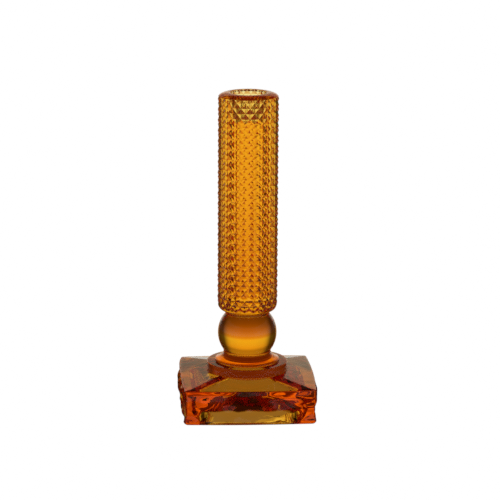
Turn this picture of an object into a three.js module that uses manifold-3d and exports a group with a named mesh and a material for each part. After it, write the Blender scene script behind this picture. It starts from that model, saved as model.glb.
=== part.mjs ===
// Glass candlestick: pressed amber glass elements stacked on one axis, joined by clear bond layers.
// Millimetres, +Z up. The origin is the centre of the underside, so the part stands on z = 0.
import * as THREE from "three";
import { mergeVertices } from "three/addons/utils/BufferGeometryUtils.js";
import Module from "manifold-3d";

// ---- Driving dimensions ----
const HEIGHT = 250; // underside to the crest of the lip
const BOND = 0.3; // thickness of each adhesive layer
const EDGE = 0.4; // small rounding where a ground face meets a side
const ROUND_STEPS = 48; // facets around the plain turned pieces

const BASE = {
  half: 50.3, // half the side, measured at the corners
  bulge: 1.8, // how far the middle of each side stands out beyond its corners
  corner: 2.4, // radius of the upright corners
  foot: 3, // radius of the lower edge
  rim: 27.4, // height of the upper edge
  rise: 8, // height of the low pyramid above the rim, carried on to its point
  seat: 31, // height of the flat seat for the collar
  clearance: 0.3, // gap between the seat's pocket and the collar
  sidePoints: 14, // points along each side
};
const HOLLOW = {
  half: 41, // half the width of the hollow in the underside
  corner: 16, // radius of its upright corners
  draft: 1.2, // how far its walls lean in
  bevel: 1, // at the top of its walls
  wall: 9.2, // height of its walls
  rise: 13, // height of its pyramid ceiling above the walls
};
const LOWER_COLLAR = { radius: 31.5, height: 7, edge: 0.9 };
const UPPER_COLLAR = { radius: 25, height: 6.9, side: 1.7, coveFoot: 24.2, edge: 0.6 };
const KNOP = { ball: 22.9, height: 30.2, centre: 15.1, foot: 18.4, top: 17.3 };
const WAFER = { radius: 17.2, height: 1.6 };
const COLUMN = {
  foot: 17.4, // radius of the ground face at the lower end
  footStep: 0.4, // height of the short upright edge at that face
  body: 23.45, // radius over the points of the diamonds
  band: 23.1, // radius of the plain band above the rounded underside
  roundHeight: 6.5, // top of the rounded underside
};
const DIAMOND = {
  around: 20, // diamonds in each row
  depth: 1.2, // height of a point above the crossing of the grooves
  rowStep: 4.08, // rise from one staggered row to the next
  steps: 40, // the first and last rings of the pattern are plain
  start: 3.52, // height of the first ring above the column's foot
};
const LIP = { crest: 15, drop: 4, mouth: 13.9, mouthDrop: 1 };
const WELL = { throat: 12.2, throatDepth: 8, floor: 10.6, depth: 21 };

// ---- Materials ----
function amberGlass(flatShading = false) {
  const glass = new THREE.MeshStandardMaterial({ color: 0xc8780c, roughness: 0.04, flatShading });
  glass.transparent = true;
  glass.opacity = 0.75;
  return glass;
}

function clearBond() {
  const bond = new THREE.MeshStandardMaterial({ color: 0xf2e6c8, roughness: 0.1 });
  bond.transparent = true;
  bond.opacity = 0.4;
  return bond;
}

// ---- Shape helpers ----
const wasm = await Module();
wasm.setup();

// A closed geometry as a solid that can be joined and cut.
function solidOf(geometry) {
  const bare = geometry.clone();
  bare.deleteAttribute("normal");
  bare.deleteAttribute("uv");
  const merged = mergeVertices(bare, 1e-3);
  const vertProperties = merged.attributes.position.array;
  const triVerts = new Uint32Array(merged.index.array);
  return new wasm.Manifold(new wasm.Mesh({ numProp: 3, vertProperties, triVerts }));
}

function geometryOf(solid) {
  const mesh = solid.getMesh();
  const geometry = new THREE.BufferGeometry();
  geometry.setAttribute("position", new THREE.BufferAttribute(mesh.vertProperties, 3));
  geometry.setIndex(new THREE.BufferAttribute(mesh.triVerts, 1));
  geometry.computeVertexNormals();
  return geometry;
}

// A body of revolution about Z. The outline runs up the outside, from the axis back to the axis.
function turned(outline, steps = ROUND_STEPS) {
  const points = outline.map(([radius, height]) => new THREE.Vector2(radius, height));
  return new THREE.LatheGeometry(points, steps).rotateX(Math.PI / 2);
}

function disc(radius, height) {
  return new THREE.CylinderGeometry(radius, radius, height, ROUND_STEPS)
    .rotateX(Math.PI / 2)
    .translate(0, 0, height / 2);
}

// Points on an ellipse's arc, in (radius, height), with angles in degrees from the outward direction.
function arc(radius, height, across, up, from, to, steps) {
  return Array.from({ length: steps + 1 }, (_, i) => {
    const angle = THREE.MathUtils.degToRad(from + ((to - from) * i) / steps);
    return [radius + across * Math.cos(angle), height + up * Math.sin(angle)];
  });
}

// A closed skin over a stack of rings with the same number of points, capped by a point at each end.
// leansBack(i, j) says which diagonal splits the cell above point i of ring j.
function skinned(first, rings, last, leansBack = () => false) {
  const count = rings[0].length;
  const positions = [first, ...rings.flat(), last].flatMap((p) => [p.x, p.y, p.z]);
  const at = (i, j) => 1 + j * count + (i % count);
  const lastIndex = 1 + rings.length * count;
  const index = [];
  for (let i = 0; i < count; i++) {
    index.push(0, at(i + 1, 0), at(i, 0));
    index.push(lastIndex, at(i, rings.length - 1), at(i + 1, rings.length - 1));
  }
  for (let j = 0; j + 1 < rings.length; j++) {
    for (let i = 0; i < count; i++) {
      const [a, b, c, d] = [at(i, j), at(i + 1, j), at(i + 1, j + 1), at(i, j + 1)];
      if (leansBack(i, j)) index.push(a, b, d, b, c, d);
      else index.push(a, b, c, a, c, d);
    }
  }
  const geometry = new THREE.BufferGeometry();
  geometry.setAttribute("position", new THREE.Float32BufferAttribute(positions, 3));
  geometry.setIndex(index);
  geometry.computeVertexNormals();
  return geometry;
}

// ---- Sub-parts ----

// The base's outline: four bowed sides between small round corners, as points around Z.
function baseOutline() {
  const { half, bulge, corner, sidePoints } = BASE;
  const reach = half - corner;
  const side = Array.from({ length: sidePoints }, (_, i) => {
    const along = -reach + (2 * reach * i) / (sidePoints - 1);
    return new THREE.Vector2(along, -half - bulge * (1 - (along / reach) ** 2));
  });
  const turn = arc(reach, -reach, corner, corner, -67.5, -22.5, 2);
  side.push(...turn.map(([x, y]) => new THREE.Vector2(x, y)));
  const origin = new THREE.Vector2();
  return [0, 1, 2, 3].flatMap((quarter) =>
    side.map((p) => p.clone().rotateAround(origin, (quarter * Math.PI) / 2)),
  );
}

// A square with round corners, centred on the axis, as points around Z at height z.
function roundedSquare(half, corner, z) {
  const reach = half - corner;
  const turn = arc(reach, -reach, corner, corner, -90, 0, 6).map(([x, y]) => new THREE.Vector3(x, y, z));
  const up = new THREE.Vector3(0, 0, 1);
  return [0, 1, 2, 3].flatMap((quarter) =>
    turn.map((p) => p.clone().applyAxisAngle(up, (quarter * Math.PI) / 2)),
  );
}

// The space under the foot: a square pocket with leaning walls and a low pyramid ceiling.
function hollowSpace() {
  const { half, corner, draft, bevel, wall, rise } = HOLLOW;
  const top = half - draft;
  const rings = [
    roundedSquare(half, corner, -1),
    roundedSquare(half, corner, 0),
    roundedSquare(top, corner - draft, wall - bevel),
    roundedSquare(top - bevel, corner - draft - bevel, wall),
  ];
  return solidOf(skinned(new THREE.Vector3(0, 0, -1), rings, new THREE.Vector3(0, 0, wall + rise)));
}

// The square foot: a block with a rounded lower edge, hollow underneath, and a low pyramid top whose
// ridges run in from the corners to a flat round seat.
function baseBlock() {
  const { foot, rim, rise, seat, clearance, half } = BASE;
  const outline = baseOutline();
  const ring = (inset, z) => {
    const scale = 1 - inset / half;
    return outline.map((p) => new THREE.Vector3(p.x * scale, p.y * scale, z));
  };
  const rings = arc(-foot, foot, foot, foot, -90, 0, 4).map(([out, z]) => ring(-out, z));
  rings.push(ring(0, rim - EDGE), ring(EDGE, rim));
  const block = solidOf(
    skinned(new THREE.Vector3(0, 0, 0), rings, new THREE.Vector3(0, 0, rim + rise)),
  );
  const padBottom = HOLLOW.wall + HOLLOW.rise;
  const pad = solidOf(disc(LOWER_COLLAR.radius, seat - padBottom).translate(0, 0, padBottom));
  const pocket = solidOf(disc(LOWER_COLLAR.radius + clearance, rise).translate(0, 0, seat));
  return geometryOf(block.add(pad).subtract(pocket).subtract(hollowSpace()));
}

// A layer of clear adhesive, a little smaller than the ground faces that it joins.
function bondLayer(radius) {
  return disc(radius - EDGE, BOND);
}

function lowerCollar() {
  const { radius, height, edge } = LOWER_COLLAR;
  return turned([
    [0, 0],
    ...arc(radius - EDGE, EDGE, EDGE, EDGE, -90, 0, 2),
    ...arc(radius - edge, height - edge, edge, edge, 0, 90, 3),
    [0, height],
  ]);
}

// The upper step: a short upright side, then a hollow curve that sweeps in to the knop's foot.
function upperCollar() {
  const { radius, height, side, coveFoot, edge } = UPPER_COLLAR;
  const top = KNOP.foot;
  const cove = new THREE.QuadraticBezierCurve(
    new THREE.Vector2(coveFoot, side + EDGE),
    new THREE.Vector2(top + 1.9, 0.52 * height),
    new THREE.Vector2(top, height - EDGE),
  );
  return turned([
    [0, 0],
    ...arc(radius - EDGE, EDGE, EDGE, EDGE, -90, 0, 2),
    ...arc(radius - edge, side - edge, edge, edge, 0, 60, 3),
    ...cove.getPoints(6).map((p) => [p.x, p.y]),
    [top, height],
    [0, height],
  ]);
}

// The ball, cut flat at both ends, with a short upright foot.
function ballKnop() {
  const { ball, height, centre, foot, top } = KNOP;
  const low = -THREE.MathUtils.radToDeg(Math.acos(foot / ball));
  const high = THREE.MathUtils.radToDeg(Math.acos(top / ball));
  return turned([
    [0, 0],
    [foot, 0],
    ...arc(0, centre, ball, ball, low, high, 14),
    [top, height],
    [0, height],
  ]);
}

function neckWafer() {
  const { radius, height } = WAFER;
  return turned([
    [0, 0],
    ...arc(radius - EDGE, EDGE, EDGE, EDGE, -90, 0, 2),
    ...arc(radius - EDGE, height - EDGE, EDGE, EDGE, 0, 90, 2),
    [0, height],
  ]);
}

// The column: a rounded underside, staggered rows of pointed diamonds, a round lip and a tapered well.
function column(height) {
  const { foot, footStep, body, band, roundHeight } = COLUMN;
  const { around, depth, rowStep, steps, start } = DIAMOND;
  const points = 2 * around;
  const ring = (z, radiusAt) =>
    Array.from({ length: points }, (_, i) => {
      const angle = -Math.PI / 2 + (2 * Math.PI * i) / points;
      const radius = radiusAt(i);
      return new THREE.Vector3(radius * Math.cos(angle), radius * Math.sin(angle), z);
    });
  const plain = (list) => list.map(([radius, z]) => ring(z, () => radius));

  // The underside's curve stops where the pattern starts.
  const curveHeight = roundHeight - footStep;
  const stop = -THREE.MathUtils.radToDeg(Math.asin((roundHeight - start) / curveHeight));
  const underside = arc(foot, roundHeight, band - foot, curveHeight, -90, stop, 5);
  const valley = body - depth;
  const rings = plain([[foot, 0], ...underside]);
  const patternStart = rings.length - 1;
  const pointed = (i, row) => (i + row) % 2 === 0;
  for (let row = 1; row < steps; row++) {
    const peak = row === 1 ? band : body;
    rings.push(ring(start + row * rowStep, (i) => (pointed(i, row) ? peak : valley)));
  }
  rings.push(...plain([[body, start + steps * rowStep]]));
  const patternEnd = rings.length - 1;
  rings.push(
    ...plain([
      ...arc(LIP.crest, height - LIP.drop, body - LIP.crest, LIP.drop, 0, 90, 6),
      [LIP.mouth, height - LIP.mouthDrop],
      [WELL.throat, height - WELL.throatDepth],
      [WELL.floor, height - WELL.depth],
    ]),
  );
  // The grooves are the valleys between the points, so each cell splits from groove to groove.
  const leansBack = (i, j) => j >= patternStart && j < patternEnd && pointed(i, j - patternStart);
  const bottom = new THREE.Vector3(0, 0, 0);
  const floor = new THREE.Vector3(0, 0, height - WELL.depth);
  return skinned(bottom, rings, floor, leansBack);
}

// ---- Assembly: each piece stands on the one before it ----
const candlestick = new THREE.Group();
let level = 0;

function stack(name, geometry, height, material) {
  const mesh = new THREE.Mesh(geometry, material);
  mesh.name = name;
  mesh.position.z = level;
  candlestick.add(mesh);
  level += height;
}

stack("base_block", baseBlock(), BASE.seat, amberGlass());
stack("base_bond", bondLayer(LOWER_COLLAR.radius), BOND, clearBond());
stack("lower_collar", lowerCollar(), LOWER_COLLAR.height, amberGlass());
stack("collar_bond", bondLayer(UPPER_COLLAR.radius), BOND, clearBond());
stack("upper_collar", upperCollar(), UPPER_COLLAR.height, amberGlass());
stack("knop_bond", bondLayer(KNOP.foot), BOND, clearBond());
stack("ball_knop", ballKnop(), KNOP.height, amberGlass());
stack("wafer_bond", bondLayer(WAFER.radius), BOND, clearBond());
stack("neck_wafer", neckWafer(), WAFER.height, amberGlass());
stack("column_bond", bondLayer(WAFER.radius), BOND, clearBond());
const columnHeight = HEIGHT - level;
stack("column", column(columnHeight), columnHeight, amberGlass(true));

export default candlestick;
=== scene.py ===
import math

import bpy
import numpy as np
from mathutils import Matrix, Vector, noise


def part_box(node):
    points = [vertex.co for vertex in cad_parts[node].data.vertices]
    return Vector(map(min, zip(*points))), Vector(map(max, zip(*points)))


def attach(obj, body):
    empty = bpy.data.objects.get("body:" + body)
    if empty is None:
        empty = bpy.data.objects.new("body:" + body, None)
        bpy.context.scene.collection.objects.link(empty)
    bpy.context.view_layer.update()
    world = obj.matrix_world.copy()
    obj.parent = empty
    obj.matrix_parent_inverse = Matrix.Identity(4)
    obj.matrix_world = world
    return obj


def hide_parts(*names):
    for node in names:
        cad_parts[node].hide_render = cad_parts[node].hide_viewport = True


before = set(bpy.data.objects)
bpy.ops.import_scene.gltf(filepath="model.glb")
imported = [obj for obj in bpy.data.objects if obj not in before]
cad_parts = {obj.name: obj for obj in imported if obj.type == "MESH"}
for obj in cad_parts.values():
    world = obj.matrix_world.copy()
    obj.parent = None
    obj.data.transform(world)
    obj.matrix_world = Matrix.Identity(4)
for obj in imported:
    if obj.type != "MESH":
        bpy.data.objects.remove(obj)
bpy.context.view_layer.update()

MM = 0.001
WHITE = (1, 1, 1, 1)

# ---------------------------------------------------------------- camera

VIEW_HEIGHT = 126.3 * MM  # height of the point the camera looks at
VIEW_SIDE = 1.8 * MM  # how far that point lies to the right of the axis
VIEW_DISTANCE = 1912.9 * MM
VIEW_ELEVATION = math.radians(13.01)
VIEW_AZIMUTH = math.radians(3.35)  # the camera stands this far to the left of the front
VIEW_ROLL = math.radians(0.32)
LENS = 177.8  # mm
SENSOR = 36  # mm
FAR_LIMIT = 50  # m, how far the camera sees


def add_camera():
    """A long lens, a little above the object and a little to the left of its front."""
    data = bpy.data.cameras.new("camera")
    data.lens = LENS
    data.sensor_width = SENSOR
    data.clip_end = FAR_LIMIT
    camera = bpy.data.objects.new("camera", data)
    bpy.context.scene.collection.objects.link(camera)
    back = Vector((
        -math.sin(VIEW_AZIMUTH) * math.cos(VIEW_ELEVATION),
        -math.cos(VIEW_AZIMUTH) * math.cos(VIEW_ELEVATION),
        math.sin(VIEW_ELEVATION),
    ))
    right = Vector((math.cos(VIEW_AZIMUTH), -math.sin(VIEW_AZIMUTH), 0))
    aim = Vector((0, 0, VIEW_HEIGHT)) + right * VIEW_SIDE
    place = Matrix.Translation(aim + back * VIEW_DISTANCE)
    turn = back.to_track_quat("Z", "Y").to_matrix().to_4x4()
    camera.matrix_world = place @ turn @ Matrix.Rotation(VIEW_ROLL, 4, "Z")
    bpy.context.scene.camera = camera


# ---------------------------------------------------------------- shader helpers


def node_material(name):
    material = bpy.data.materials.new(name)
    material.use_nodes = True
    material.node_tree.nodes.clear()
    return material, material.node_tree.nodes, material.node_tree.links


def map_range(nodes, links, value, start, end, low, high):
    """A smooth step from low, where value is start, to high, where it is end."""
    ramp = nodes.new("ShaderNodeMapRange")
    ramp.interpolation_type = "SMOOTHSTEP"
    for name, number in zip(("From Min", "From Max", "To Min", "To Max"), (start, end, low, high)):
        ramp.inputs[name].default_value = number
    links.new(value, ramp.inputs["Value"])
    return ramp.outputs["Result"]


GLASS_IOR = 1.52
JOINT_IOR = 1.0  # the faces of a joint don't bend light
AMBER = (0.995, 0.873, 0.33, 1.0)  # what a short length of the glass lets through
AMBER_DENSITY = 160.0
GLASS_RIPPLES = (90, 90, 90)  # ripples in each metre along X, Y and Z
GLASS_RIPPLE_HEIGHT = 0.02 * MM
FOOT_RIPPLES = (110, 110, 420)
FOOT_RIPPLE_HEIGHT = 0.09 * MM
GLASS_HAZE = 0.02  # roughness of the least polished patches
HAZE_PATCHES = (70, 70, 70)
HAZE_START = 0.45  # the noise value at which a patch begins
HAZE_END = 0.75
BOND_RIPPLES = (200, 200, 200)
BOND_RIPPLE_HEIGHT = 0.02 * MM
BOND_HAZE = 0.05


def noise_texture(nodes, links, scale, detail):
    """Noise over the object's own shape; scale gives the features in each metre along X, Y and Z."""
    place = nodes.new("ShaderNodeTexCoord")
    spread = nodes.new("ShaderNodeMapping")
    spread.inputs["Scale"].default_value = scale
    texture = nodes.new("ShaderNodeTexNoise")
    texture.inputs["Scale"].default_value = 1
    texture.inputs["Detail"].default_value = detail
    links.new(place.outputs["Object"], spread.inputs["Vector"])
    links.new(spread.outputs["Vector"], texture.inputs["Vector"])
    return texture.outputs["Fac"]


def clear_body(name, ripples, ripple_height, haze):
    """A clear body with faint ripples in its skin and patches that are slightly less polished.

    How much it bends light is set face by face. The faces of a joint don't bend it at all, because
    the bond film has the same index as the glass on both sides of it."""
    material, nodes, links = node_material(name)
    output = nodes.new("ShaderNodeOutputMaterial")
    shader = nodes.new("ShaderNodeBsdfPrincipled")
    shader.inputs["Base Color"].default_value = WHITE
    shader.inputs["Transmission Weight"].default_value = 1
    index = nodes.new("ShaderNodeAttribute")
    index.attribute_name = "index"
    links.new(index.outputs["Fac"], shader.inputs["IOR"])
    polish = noise_texture(nodes, links, HAZE_PATCHES, 3)
    roughness = map_range(nodes, links, polish, HAZE_START, HAZE_END, 0, haze)
    links.new(roughness, shader.inputs["Roughness"])
    bump = nodes.new("ShaderNodeBump")
    bump.inputs["Strength"].default_value = 1
    bump.inputs["Distance"].default_value = ripple_height
    links.new(noise_texture(nodes, links, ripples, 2), bump.inputs["Height"])
    links.new(bump.outputs["Normal"], shader.inputs["Normal"])
    links.new(shader.outputs[0], output.inputs["Surface"])
    return material, nodes, links, output


def amber_glass(name, ripples, ripple_height):
    """Clear glass that takes its colour from the length of the way through it."""
    material, nodes, links, output = clear_body(name, ripples, ripple_height, GLASS_HAZE)
    volume = nodes.new("ShaderNodeVolumeAbsorption")
    volume.inputs["Color"].default_value = AMBER
    volume.inputs["Density"].default_value = AMBER_DENSITY
    links.new(volume.outputs[0], output.inputs["Volume"])
    return material


def clear_bond():
    """The bond films, which are clear and have no colour of their own."""
    return clear_body("clear_bond", BOND_RIPPLES, BOND_RIPPLE_HEIGHT, BOND_HAZE)[0]


# ---------------------------------------------------------------- mesh helpers

SHARP = 30  # degrees; edges that turn more than this stay crisp


def mesh_object(name, vertices, faces, joint_faces, material, sharp):
    """joint_faces holds the numbers of the faces that touch a bond film."""
    mesh = bpy.data.meshes.new(name)
    mesh.from_pydata([tuple(v) for v in vertices], [], faces)
    mesh.materials.append(material)
    index = mesh.attributes.new("index", "FLOAT", "FACE")
    values = [JOINT_IOR if f in joint_faces else GLASS_IOR for f in range(len(faces))]
    index.data.foreach_set("value", values)
    mesh.polygons.foreach_set("use_smooth", [True] * len(faces))
    mesh.update()
    mesh.set_sharp_from_angle(angle=math.radians(sharp))
    obj = bpy.data.objects.new(name, mesh)
    bpy.context.scene.collection.objects.link(obj)
    return obj


def skin(name, rings, joint_rings, material, sharp=SHARP, flips=None):
    """A closed skin over rings of points, from the middle of the underside round to the middle of the top.

    rings[0] and rings[-1] are single points. joint_rings holds the numbers of the strips that are joint
    faces. With flips, every strip is made of triangles, and flips(i, j) says which way a square is cut."""
    count = len(rings[1])
    vertices = [rings[0][0]]
    for ring in rings[1:-1]:
        vertices.extend(ring)
    vertices.append(rings[-1][0])
    last = len(vertices) - 1
    faces = []
    joint_faces = set()

    def at(i, j):
        return 1 + (j - 1) * count + i % count

    for j in range(len(rings) - 1):
        start = len(faces)
        for i in range(count):
            if j == 0:
                faces.append((0, at(i + 1, 1), at(i, 1)))
            elif j == len(rings) - 2:
                faces.append((at(i, j), at(i + 1, j), last))
            else:
                a, b, c, d = at(i, j), at(i + 1, j), at(i + 1, j + 1), at(i, j + 1)
                if flips is None:
                    faces.append((a, b, c, d))
                elif flips(i, j):
                    faces.extend([(a, b, d), (b, c, d)])
                else:
                    faces.extend([(a, b, c), (a, c, d)])
        if j in joint_rings:
            joint_faces.update(range(start, len(faces)))
    return mesh_object(name, vertices, faces, joint_faces, material, sharp)


TURNED_POINTS = 192  # round each turned piece


def circle(radius, z, count):
    turn = -math.pi / 2 + np.arange(count) * 2 * math.pi / count
    return np.stack([radius * np.cos(turn), radius * np.sin(turn), np.full(count, z)], -1)


def turned(name, outline, material):
    """outline: (radius, height) from the axis, up the outside, and back to the axis. Its first and last
    strips are joint faces."""
    rings = [[(0, 0, outline[0][1])]]
    rings += [circle(radius, z, TURNED_POINTS) for radius, z in outline[1:-1]]
    rings += [[(0, 0, outline[-1][1])]]
    return skin(name, rings, {0, len(outline) - 2}, material)


def arc(radius, height, across, up, start, end, steps):
    """Part of an ellipse round (radius, height), from one angle in degrees to another."""
    turns = np.radians(np.linspace(start, end, steps + 1))
    return [(radius + across * math.cos(t), height + up * math.sin(t)) for t in turns]


def outer_radius(node):
    """Half the width of a part of the frame."""
    low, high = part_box(node)
    return (high[0] - low[0]) / 2


def heights(node):
    """The lowest and highest points of a part of the frame."""
    low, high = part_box(node)
    return low[2], high[2]


# ---------------------------------------------------------------- turned pieces

EDGE = 0.4 * MM  # small round edges
BOND_GAP = 0.02 * MM  # keeps the faces of a joint from lying exactly on each other
COLLAR_RIM = 0.9 * MM  # rounding of the wide disc's upper edge
COVE_SIDE = 1.7 * MM  # height of the upright side under the cove
COVE_RIM = 0.7 * MM  # rounding where the side turns into the cove
COVE_BEND_OUT = 1.9 * MM  # the cove curves round a point this far out from the neck
COVE_BEND_UP = 3.6 * MM  # and this far up from the collar's underside
COVE_STEPS = 20
KNOP_CENTRE = 15.1 * MM  # height of the ball's middle above its underside
KNOP_LEDGE = 0.1 * MM  # height of the small step under the ball
KNOP_NECK = 0.5 * MM  # how far the ball's top reaches past the joint there
KNOP_STEPS = 72


def lower_collar(material):
    bottom, top = heights("lower_collar")
    radius = outer_radius("lower_collar")
    outline = [(0, bottom), (outer_radius("base_bond"), bottom)]
    outline += arc(radius - EDGE, bottom + EDGE, EDGE, EDGE, -90, 0, 5)
    outline += arc(radius - COLLAR_RIM, top - COLLAR_RIM, COLLAR_RIM, COLLAR_RIM, 0, 90, 8)
    outline += [(outer_radius("collar_bond"), top), (0, top)]
    return turned("glass_lower_collar", outline, material)


def upper_collar(material):
    bottom, top = heights("upper_collar")
    radius = outer_radius("upper_collar")
    neck = outer_radius("knop_bond") + EDGE
    side = bottom + COVE_SIDE
    outline = [(0, bottom), (outer_radius("collar_bond"), bottom)]
    outline += arc(radius - EDGE, bottom + EDGE, EDGE, EDGE, -90, 0, 5)
    outline += arc(radius - COVE_RIM, side - COVE_RIM, COVE_RIM, COVE_RIM, 0, 75, 7)
    start = Vector(outline[-1])
    middle = Vector((neck + COVE_BEND_OUT, bottom + COVE_BEND_UP))
    end = Vector((neck, top - EDGE))
    for t in np.linspace(0, 1, COVE_STEPS + 1)[1:]:
        p = start * (1 - t) ** 2 + middle * 2 * t * (1 - t) + end * t ** 2
        outline.append(tuple(p))
    outline += [(neck, top), (outer_radius("knop_bond"), top), (0, top)]
    return turned("glass_upper_collar", outline, material)


def ball_knop(material):
    bottom, top = heights("ball_knop")
    ball = outer_radius("ball_knop")
    foot = outer_radius("knop_bond") + EDGE
    neck = outer_radius("wafer_bond") + KNOP_NECK
    centre = bottom + KNOP_CENTRE
    low = -math.degrees(math.acos(foot / ball))
    high = math.degrees(math.acos(neck / ball))
    outline = [(0, bottom), (outer_radius("knop_bond"), bottom), (foot, bottom + KNOP_LEDGE)]
    outline += arc(0, centre, ball, ball, low, high, KNOP_STEPS)
    outline += [(outer_radius("wafer_bond"), top), (0, top)]
    return turned("glass_ball_knop", outline, material)


def neck_wafer(material):
    bottom, top = heights("neck_wafer")
    radius = outer_radius("neck_wafer")
    joint = outer_radius("wafer_bond")
    outline = [(0, bottom), (joint, bottom)]
    outline += arc(radius - EDGE, bottom + EDGE, EDGE, EDGE, -90, 0, 5)
    outline += arc(radius - EDGE, top - EDGE, EDGE, EDGE, 0, 90, 5)
    outline += [(joint, top), (0, top)]
    return turned("glass_neck_wafer", outline, material)


def bond(node, material):
    """A thin clear disc between two glass pieces."""
    low, high = heights(node)
    radius = outer_radius(node)
    bottom = low + BOND_GAP
    top = high - BOND_GAP
    outline = [(0, bottom), (radius, bottom), (radius, top), (0, top)]
    return turned("layer_" + node, outline, material)


# ---------------------------------------------------------------- column

DIAMONDS_AROUND = 20
DIAMOND_DEPTH = 1.2 * MM
FIRST_ROW = 3.52 * MM  # height of the lowest row of tips and valleys above the column's underside
ROW_STEP = 4.08 * MM
ROWS = 41
FINE = 4  # steps along the side of each half diamond
ROUND_END = 6.5 * MM  # height of the rounded lower end
ROUND_STEPS = 14
PLAIN_BAND = 0.35 * MM  # how much smaller the column is just above that end
BAND_BLEND = 3 * MM  # height over which it reaches its full size
LIP_DROP = 4 * MM
LIP_CREST = 15 * MM  # radius of the lip's highest line
LIP_INNER = 1.1 * MM  # rounding from the crest into the well
LIP_STEP = 0.3 * MM  # from the last row to the start of the plain lip
WELL = [(12.2, 8), (10.6, 20.4), (10, 21)]  # mm: radius, depth below the top
WELL_DEPTH = 21 * MM
COLUMN_SHARP = 12  # degrees


def column(material):
    bottom, top = heights("column")
    body = outer_radius("column")
    foot = outer_radius("column_bond") + EDGE
    band = body - PLAIN_BAND
    valley = body - DIAMOND_DEPTH
    first_row = bottom + FIRST_ROW
    round_top = bottom + ROUND_END

    def envelope(z):
        """The radius that nothing at this height passes."""
        if z < round_top:
            rise = 1 - (z - bottom - EDGE) / (round_top - bottom - EDGE)
            return foot + (band - foot) * math.sqrt(max(0.0, 1 - rise ** 2))
        if z < round_top + BAND_BLEND:
            return band + (body - band) * (z - round_top) / BAND_BLEND
        if z > top - LIP_DROP:
            rise = (z - top + LIP_DROP) / LIP_DROP
            return LIP_CREST + (body - LIP_CREST) * math.sqrt(max(0.0, 1 - rise ** 2))
        return body

    count = 2 * DIAMONDS_AROUND * FINE

    def lattice(i, j, peak):
        """A tip or a valley of the diamonds."""
        turn = -math.pi / 2 + i * math.pi / DIAMONDS_AROUND
        radius = body if peak else valley
        return np.array([radius * math.cos(turn), radius * math.sin(turn), first_row + j * ROW_STEP])

    def surface(i, j):
        """A point on the flat faces between the tips and the valleys, kept inside the envelope."""
        ci = int(i / FINE)
        cj = int(j / FINE)
        u = i / FINE - ci
        v = j / FINE - cj
        even = (ci + cj) % 2 == 0

        def corner(di, dj):
            return lattice(ci + di, cj + dj, (ci + di + cj + dj) % 2 == 0)

        if even and u + v <= 1:
            p = (1 - u - v) * corner(0, 0) + u * corner(1, 0) + v * corner(0, 1)
        elif even:
            p = (u + v - 1) * corner(1, 1) + (1 - v) * corner(1, 0) + (1 - u) * corner(0, 1)
        elif u >= v:
            p = (u - v) * corner(1, 0) + (1 - u) * corner(0, 0) + v * corner(1, 1)
        else:
            p = (v - u) * corner(0, 1) + (1 - v) * corner(0, 0) + u * corner(1, 1)
        radius = math.hypot(p[0], p[1])
        wanted = min(envelope(p[2]), radius)
        return p * np.array([wanted / radius, wanted / radius, 1])

    rings = [[(0, 0, bottom)]]
    rings += [circle(outer_radius("column_bond"), bottom, count), circle(foot, bottom, count)]
    for k in range(ROUND_STEPS):
        rise = 1 - math.cos(math.pi / 2 * k / ROUND_STEPS)
        z = bottom + EDGE + (first_row - bottom - EDGE) * rise
        rings.append(circle(envelope(z), z, count))
    patterned = len(rings)
    for j in range(ROWS * FINE - 1):
        rings.append(np.array([surface(i, j) for i in range(count)]))
    pattern_end = len(rings) - 1
    last_row = rings[-1][0][2]
    start = math.degrees(math.asin((last_row + LIP_STEP - top + LIP_DROP) / LIP_DROP))
    outline = arc(LIP_CREST, top - LIP_DROP, body - LIP_CREST, LIP_DROP, start, 90, 20)
    outline += arc(LIP_CREST, top - LIP_INNER, LIP_INNER, LIP_INNER, 90, 180, 8)[1:]
    outline += [(radius * MM, top - depth * MM) for radius, depth in WELL]
    rings += [circle(radius, z, count) for radius, z in outline]
    rings.append([(0, 0, top - WELL_DEPTH)])

    def flips(i, j):
        if not patterned <= j < pattern_end:
            return False
        return (i // FINE + (j - patterned) // FINE) % 2 == 0

    return skin("glass_column", rings, {0}, material, COLUMN_SHARP, flips)


# ---------------------------------------------------------------- foot

BASE_CORNER = 2.4 * MM
BASE_FOOT = 3 * MM  # rounding of the lower edge
BASE_EDGE = 0.6 * MM  # rounding where the sides meet the sloping top
BASE_RIM = 27.4 * MM  # height of that edge
BASE_RISE = 8 * MM  # how much higher the slopes would meet over the middle
BASE_BULGE = 1.8 * MM  # how far the middle of each side stands out
BASE_SHARP = 35  # degrees
SIDE_POINTS = 60
SIDE_LEVELS = 40
SLOPE_STEPS = 10
SEAT_CLEARANCE = 0.1 * MM
BROAD_WAVES = 2.6  # mm, in the sides
FINE_WAVES = 1.1  # mm
FRONT_SHARE = 0.25  # the front has fewer fine waves than the other sides
WAVE_FADE = 3 * MM  # height over which the waves die out under the top edge
HOLLOW = 41 * MM  # half the width of the hollow in the underside
HOLLOW_CORNER = 16 * MM
HOLLOW_WALL = 9.2 * MM  # height of the hollow's walls
HOLLOW_RISE = 13 * MM  # how much higher the middle of its ceiling is
HOLLOW_ROUND = 1.5 * MM  # height of the rounding between its walls and ceiling
HOLLOW_INSET = 2.2 * MM  # and how far in that reaches
HOLLOW_LIP = 0.3 * MM  # small slope round its mouth
HOLLOW_STEPS = 8


def rounded_square(direction, half, corner):
    """The point at which a line from the centre meets a square with round corners."""
    x, y = abs(direction.x), abs(direction.y)
    reach = half / max(x, y)
    if min(x, y) * reach > half - corner:
        centre = (half - corner) * (x + y)
        reach = centre + math.sqrt(centre ** 2 - 2 * (half - corner) ** 2 + corner ** 2)
    return direction * reach


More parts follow.
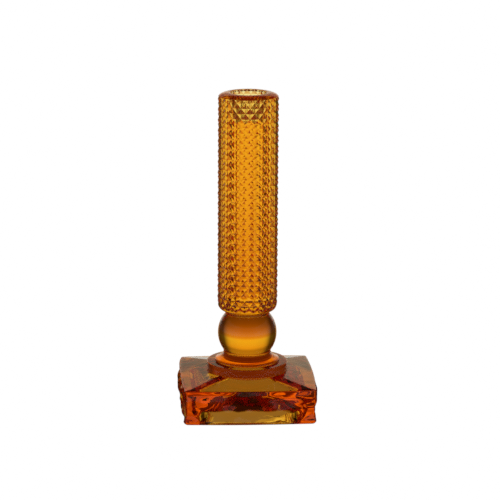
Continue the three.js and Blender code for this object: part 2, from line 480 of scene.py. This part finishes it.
def base_block(material):
    half = outer_radius("base_block") - BASE_BULGE
    seat = heights("base_bond")[0]
    reach = half - BASE_CORNER
    flat = []
    for x in np.linspace(-reach, reach, SIDE_POINTS):
        flat.append((x, -half - BASE_BULGE * (1 - (x / reach) ** 2)))
    flat += arc(reach, -reach, BASE_CORNER, BASE_CORNER, -80, -10, 7)
    outline = []
    for quarter in range(4):
        turn = Matrix.Rotation(quarter * math.pi / 2, 2)
        outline += [turn @ Vector(p) for p in flat]
    count = len(outline)
    normals = []
    for i in range(count):
        along = outline[(i + 1) % count] - outline[i - 1]
        normals.append(Vector((along.y, -along.x)).normalized())

    def side_ring(z, inset, rough):
        """The foot's outline at one height; rough says how much of the waves it has."""
        ring = []
        for i, p in enumerate(outline):
            q = p - normals[i] * inset
            if rough > 0:
                broad = noise.fractal(Vector((p.x * 45, p.y * 45, z * 60)), 1.0, 2.0, 2)
                fine = noise.noise(Vector((p.x * 90, p.y * 90, z * 170 + 5)))
                away = 1 if normals[i].y > -0.5 else FRONT_SHARE
                q = q + normals[i] * ((BROAD_WAVES * broad + FINE_WAVES * fine * away) * MM * rough)
            ring.append((q.x, q.y, z))
        return ring

    def hollow_ring(inset, z):
        ring = []
        for p in outline:
            q = rounded_square(p.normalized(), HOLLOW - inset, HOLLOW_CORNER - inset)
            ring.append((q.x, q.y, z))
        return ring

    rings = [[(0, 0, HOLLOW_WALL + HOLLOW_RISE)]]
    for k in range(1, HOLLOW_STEPS):
        height = HOLLOW_WALL + HOLLOW_RISE * (1 - k / HOLLOW_STEPS)
        ring = []
        for x, y, z in hollow_ring(HOLLOW_INSET, height):
            ring.append((x * k / HOLLOW_STEPS, y * k / HOLLOW_STEPS, z))
        rings.append(ring)
    for inset, z in arc(HOLLOW_INSET, HOLLOW_WALL - HOLLOW_ROUND, -HOLLOW_ROUND, HOLLOW_ROUND, 90, 180, 6):
        rings.append(hollow_ring(inset, z))
    rings.append(hollow_ring(HOLLOW_LIP, HOLLOW_LIP))
    rings.append(hollow_ring(0.0, 0.0))
    for out, z in arc(-BASE_FOOT, BASE_FOOT, BASE_FOOT, BASE_FOOT, -90, 0, 8):
        rings.append(side_ring(z, -out, z / BASE_FOOT))
    top_side = BASE_RIM - BASE_EDGE
    for k in range(1, SIDE_LEVELS + 1):
        z = BASE_FOOT + (top_side - BASE_FOOT) * k / SIDE_LEVELS
        rough = min(1, (top_side - z) / WAVE_FADE)
        rings.append(side_ring(z, 0, rough))
    for out, z in arc(-BASE_EDGE, top_side, BASE_EDGE, BASE_EDGE, 0, 80, 4)[1:]:
        rings.append(side_ring(z, -out, 0))
    edge = [Vector(p) for p in rings[-1]]
    seat_wall = outer_radius("lower_collar") + SEAT_CLEARANCE
    for k in range(1, SLOPE_STEPS + 1):
        ring = []
        for p in edge:
            radius = math.hypot(p.x, p.y)
            scale = 1 + (seat_wall / radius - 1) * k / SLOPE_STEPS
            ring.append((p.x * scale, p.y * scale, p.z + BASE_RISE * (1 - scale)))
        rings.append(ring)
    for radius in (seat_wall, outer_radius("base_bond")):
        ring = []
        for p in edge:
            scale = radius / math.hypot(p.x, p.y)
            ring.append((p.x * scale, p.y * scale, seat))
        rings.append(ring)
    rings.append([(0, 0, seat)])
    return skin("glass_base_block", rings, {len(rings) - 2}, material, BASE_SHARP)


# ---------------------------------------------------------------- surroundings

# What the glass sees of the table, all painted light and shade: a painted shadow with a painted amber glow
# of the object near its foot, and painted light that grows brighter further back: (distance from the axis
# in m, brightness, colour).
PAINTED_TABLE_LIGHT = [
    (0.00, 0.31, (1.0, 0.55, 0.20)),
    (0.05, 0.31, (1.0, 0.55, 0.20)),
    (0.06, 0.14, (1.0, 0.48, 0.12)),
    (0.10, 0.165, (1.0, 0.48, 0.12)),
    (0.14, 0.26, (1.0, 0.48, 0.12)),
    (0.20, 0.48, (1.0, 0.50, 0.15)),
    (0.32, 0.68, (1.0, 0.60, 0.25)),
    (0.50, 0.80, (1.0, 0.68, 0.35)),
    (0.80, 0.95, (1.0, 0.92, 0.75)),
    (1.20, 0.97, (1.0, 1.0, 0.9)),
]
# What it sees of the room: (sine of the angle above the table, brightness, colour).
ROOM_LIGHT = [
    (0.00, 0.96, (1.0, 1.0, 0.9)),
    (0.10, 0.94, (1.0, 0.9, 0.75)),
    (0.18, 0.90, (1.0, 0.8, 0.55)),
    (0.27, 0.52, (1.0, 0.75, 0.5)),
    (0.45, 0.54, (1.0, 0.75, 0.5)),
    (0.55, 0.03, (1.0, 0.75, 0.5)),
    (1.00, 0.02, (1.0, 0.75, 0.5)),
]
# How the light varies round the object: (cosine of the angle from straight behind, brightness).
ROUND_LIGHT = [
    (-1.0, 0.35),
    (-0.7, 0.60),
    (0.1, 0.38),
    (0.45, 0.06),
    (0.72, 0.10),
    (0.93, 0.9),
    (1.0, 1.0),
]
# Painted light: inside SHELTER_START the floor glows at full strength, fading to the beam's strength by
# SHELTER_END.
SHELTER_START = 0.05  # m from the axis; inside this the table is lit from all round
SHELTER_END = 0.06
FLOOR_SIZE = 6  # m, half its width
FLOOR_DROP = 0.2 * MM
LIGHT_PASSES = 48  # how often light may enter or leave glass on its way
GLOSS_PASSES = 24


def light_ramp(nodes, links, value, stops, blend="LINEAR"):
    """The colour at value, between stops of (value, colour)."""
    share = nodes.new("ShaderNodeMapRange")
    share.inputs["From Min"].default_value = stops[0][0]
    share.inputs["From Max"].default_value = stops[-1][0]
    links.new(value, share.inputs["Value"])
    ramp = nodes.new("ShaderNodeValToRGB")
    ramp.color_ramp.interpolation = blend
    elements = ramp.color_ramp.elements
    while len(elements) < len(stops):
        elements.new(0.5)
    for element, (place, colour) in zip(elements, stops):
        element.position = (place - stops[0][0]) / (stops[-1][0] - stops[0][0])
        element.color = (*colour, 1)
    links.new(share.outputs["Result"], ramp.inputs["Fac"])
    return ramp.outputs["Color"]


def tinted(stops):
    """Stops of (place, brightness, colour) as stops of (place, colour)."""
    return [(place, [brightness * c for c in colour]) for place, brightness, colour in stops]


def beam(nodes, links, direction):
    """How much light comes from a direction: most from straight behind, less from the front and sides."""
    flat = nodes.new("ShaderNodeVectorMath")
    flat.operation = "MULTIPLY"
    flat.inputs[1].default_value = (1, 1, 0)
    links.new(direction, flat.inputs[0])
    unit = nodes.new("ShaderNodeVectorMath")
    unit.operation = "NORMALIZE"
    links.new(flat.outputs["Vector"], unit.inputs[0])
    along = nodes.new("ShaderNodeVectorMath")
    along.operation = "DOT_PRODUCT"
    along.inputs[1].default_value = (math.sin(VIEW_AZIMUTH), math.cos(VIEW_AZIMUTH), 0)
    links.new(unit.outputs["Vector"], along.inputs[0])
    stops = [(place, (brightness,) * 3) for place, brightness in ROUND_LIGHT]
    return light_ramp(nodes, links, along.outputs["Value"], stops, "EASE")


def add_floor():
    """A pale floor, plain white to the camera. The glass sees it as a glowing table top with painted light
    and shade: lit brightly further back and straight behind, with a painted shadow and painted amber glow
    near the object.
    """
    mesh = bpy.data.meshes.new("floor")
    corners = [(x * FLOOR_SIZE, y * FLOOR_SIZE, 0) for x, y in ((-1, -1), (1, -1), (1, 1), (-1, 1))]
    mesh.from_pydata(corners, [], [(0, 1, 2, 3)])
    floor = bpy.data.objects.new("floor", mesh)
    bpy.context.scene.collection.objects.link(floor)
    floor.location.z = -FLOOR_DROP
    material, nodes, links = node_material("floor")
    output = nodes.new("ShaderNodeOutputMaterial")
    path = nodes.new("ShaderNodeLightPath")
    seen = nodes.new("ShaderNodeEmission")
    seen.inputs["Color"].default_value = WHITE
    through = nodes.new("ShaderNodeEmission")
    place = nodes.new("ShaderNodeTexCoord")
    length = nodes.new("ShaderNodeVectorMath")
    length.operation = "LENGTH"
    links.new(place.outputs["Object"], length.inputs[0])
    # Painted light and shade on the table by distance from the axis.
    table = light_ramp(nodes, links, length.outputs["Value"], tinted(PAINTED_TABLE_LIGHT))
    links.new(table, through.inputs["Color"])
    # Painted light: the floor glows brightest straight behind the object and dimmer at its sides and
    # front.
    glow = beam(nodes, links, place.outputs["Object"])
    strength = nodes.new("ShaderNodeMath")
    strength.operation = "MAXIMUM"
    links.new(glow, strength.inputs[0])
    shelter = map_range(nodes, links, length.outputs["Value"], SHELTER_START, SHELTER_END, 1, 0)
    links.new(shelter, strength.inputs[1])
    links.new(strength.outputs[0], through.inputs["Strength"])
    mix = nodes.new("ShaderNodeMixShader")
    links.new(path.outputs["Is Camera Ray"], mix.inputs["Fac"])
    links.new(through.outputs[0], mix.inputs[1])
    links.new(seen.outputs[0], mix.inputs[2])
    links.new(mix.outputs[0], output.inputs["Surface"])
    mesh.materials.append(material)


def add_world():
    """A pale backdrop. The glass sees soft light low down behind the object and darkness above."""
    world = bpy.data.worlds.new("studio")
    world.use_nodes = True
    bpy.context.scene.world = world
    nodes, links = world.node_tree.nodes, world.node_tree.links
    nodes.clear()
    output = nodes.new("ShaderNodeOutputWorld")
    path = nodes.new("ShaderNodeLightPath")
    place = nodes.new("ShaderNodeTexCoord")
    split = nodes.new("ShaderNodeSeparateXYZ")
    links.new(place.outputs["Generated"], split.inputs[0])
    through = nodes.new("ShaderNodeBackground")
    room = light_ramp(nodes, links, split.outputs["Z"], tinted(ROOM_LIGHT))
    links.new(room, through.inputs["Color"])
    links.new(beam(nodes, links, place.outputs["Generated"]), through.inputs["Strength"])
    seen = nodes.new("ShaderNodeBackground")
    mix = nodes.new("ShaderNodeMixShader")
    seen.inputs["Color"].default_value = WHITE
    links.new(path.outputs["Is Camera Ray"], mix.inputs["Fac"])
    links.new(through.outputs[0], mix.inputs[1])
    links.new(seen.outputs[0], mix.inputs[2])
    links.new(mix.outputs[0], output.inputs["Surface"])


def set_light_paths():
    """Plain colours, and enough passes for light to get through the diamonds."""
    scene = bpy.context.scene
    scene.view_settings.view_transform = "Standard"
    scene.cycles.max_bounces = LIGHT_PASSES
    scene.cycles.transmission_bounces = LIGHT_PASSES
    scene.cycles.glossy_bounces = GLOSS_PASSES
    scene.cycles.transparent_max_bounces = LIGHT_PASSES
    scene.cycles.volume_bounces = 0
    scene.cycles.use_denoising = False


# ---------------------------------------------------------------- build

add_camera()
add_floor()
add_world()
set_light_paths()

glass = amber_glass("amber_glass", GLASS_RIPPLES, GLASS_RIPPLE_HEIGHT)
rippled = amber_glass("amber_glass_rippled", FOOT_RIPPLES, FOOT_RIPPLE_HEIGHT)
clear = clear_bond()
pieces = {
    "base_block": base_block(rippled),
    "lower_collar": lower_collar(glass),
    "upper_collar": upper_collar(glass),
    "ball_knop": ball_knop(glass),
    "neck_wafer": neck_wafer(glass),
    "column": column(glass),
}
for node in ("base_bond", "collar_bond", "knop_bond", "wafer_bond", "column_bond"):
    pieces[node] = bond(node, clear)

for node, piece in pieces.items():
    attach(piece, "root")
    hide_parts(node)
